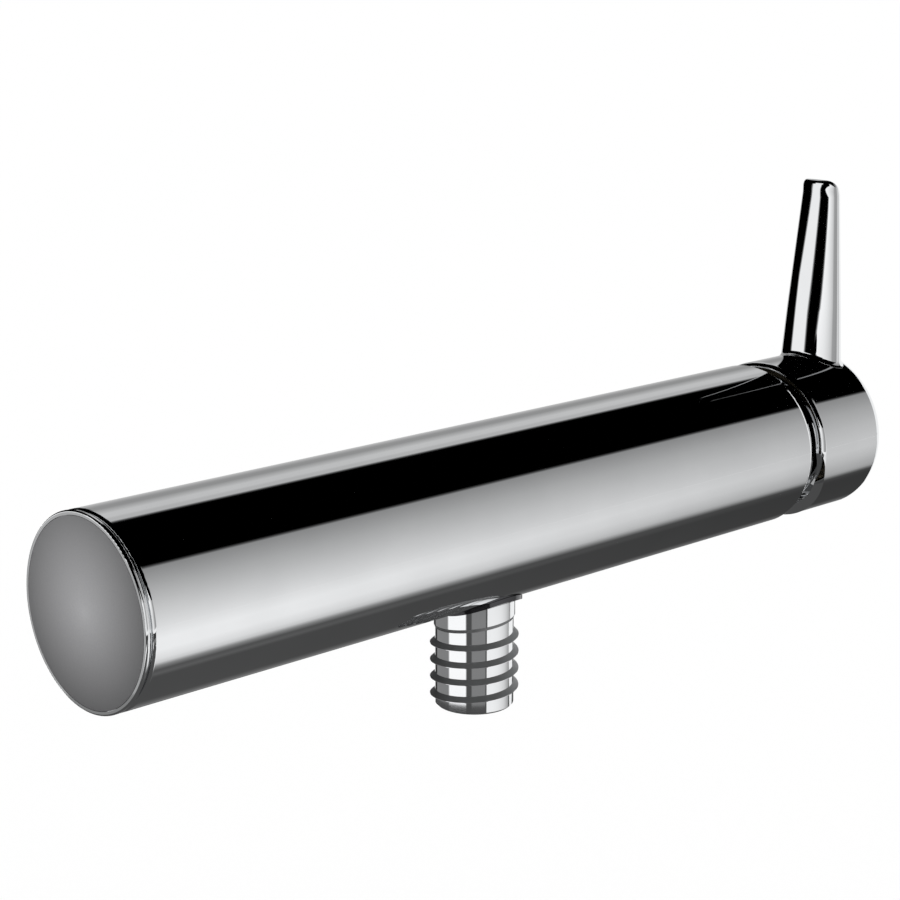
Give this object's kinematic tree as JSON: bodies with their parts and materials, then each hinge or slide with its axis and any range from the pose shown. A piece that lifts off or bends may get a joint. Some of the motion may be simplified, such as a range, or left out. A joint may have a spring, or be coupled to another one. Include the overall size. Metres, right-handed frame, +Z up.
{
  "type": "shower mixer",
  "caption": "Wall-mounted single-lever shower mixer: a round horizontal body, a tilting and turning ring handle with an upright lever, and a threaded hose outlet below.",
  "frame": {"origin": "midway between the mouths of the hot and cold inlet sockets, in the plane that faces the wall", "axes": "+X along the body towards the handle, +Y into the wall, +Z up"},
  "size_m": [0.24, 0.047, 0.1137],
  "materials": {
    "chrome": "polished",
    "satin_plate": "satin",
    "brass": "machined",
    "steel": "machined",
    "rubber": "matte",
    "white_plastic": "moulded",
    "grey_plastic": "moulded",
    "ceramic": "lapped"
  },
  "bodies": {
    "body": {"body_tube": "chrome", "end_plate": "chrome", "end_disc": "satin_plate", "end_plate_seal": "rubber", "hot_inlet_body": "brass", "hot_socket": "chrome", "cold_socket": "chrome", "socket_seals": "rubber", "socket_set_screws": "steel", "hot_strainer": "steel", "cold_strainer": "steel", "hot_pipe": "brass", "mixed_pipe": "brass", "outlet_block": "brass", "outlet_collar": "chrome", "outlet_nipple": "chrome", "outlet_seal": "rubber", "check_valve_housing": "white_plastic", "check_valve_spring": "steel", "check_valve_clip": "steel", "valve_body": "brass", "cartridge_seals": "rubber", "cartridge_base": "white_plastic", "fixed_disc": "ceramic", "cartridge_shell": "white_plastic", "cartridge_nut": "brass", "dome_cover": "chrome"},
    "turner": {"turn_sleeve": "grey_plastic", "pivot_pin": "steel"},
    "handle": {"spindle": "steel", "handle_ring": "chrome", "lever": "chrome", "handle_set_screw": "steel", "screw_plug": "chrome"},
    "disc": {"moving_disc": "ceramic", "disc_carrier": "grey_plastic"},
    "poppet": {"check_valve_poppet": "grey_plastic"}
  },
  "joints": [
    {"name": "handle_turn", "type": "hinge", "parent": "body", "child": "turner", "pos_m": [0.1045, -0.026, 0], "axis": [1, 0, 0], "range_deg": [-45, 45]},
    {"name": "handle_lift", "type": "hinge", "parent": "turner", "child": "handle", "pos_m": [0.1045, -0.026, 0], "axis": [0, 1, 0], "range_deg": [0, 20]},
    {"name": "disc_slide", "type": "slide", "parent": "turner", "child": "disc", "axis": [0, 0, 1], "range_m": [0, 0.0028]},
    {"name": "check_valve", "type": "slide", "parent": "body", "child": "poppet", "axis": [0, 0, -1], "range_m": [0, 0.003], "stiffness_N_per_m": 100, "springref_m": -0.002, "deforming": ["check_valve_spring"]}
  ],
  "couplings": [
    {"joint": "disc_slide", "follows": "handle_lift", "m_per_rad": 0.00784}
  ]
}
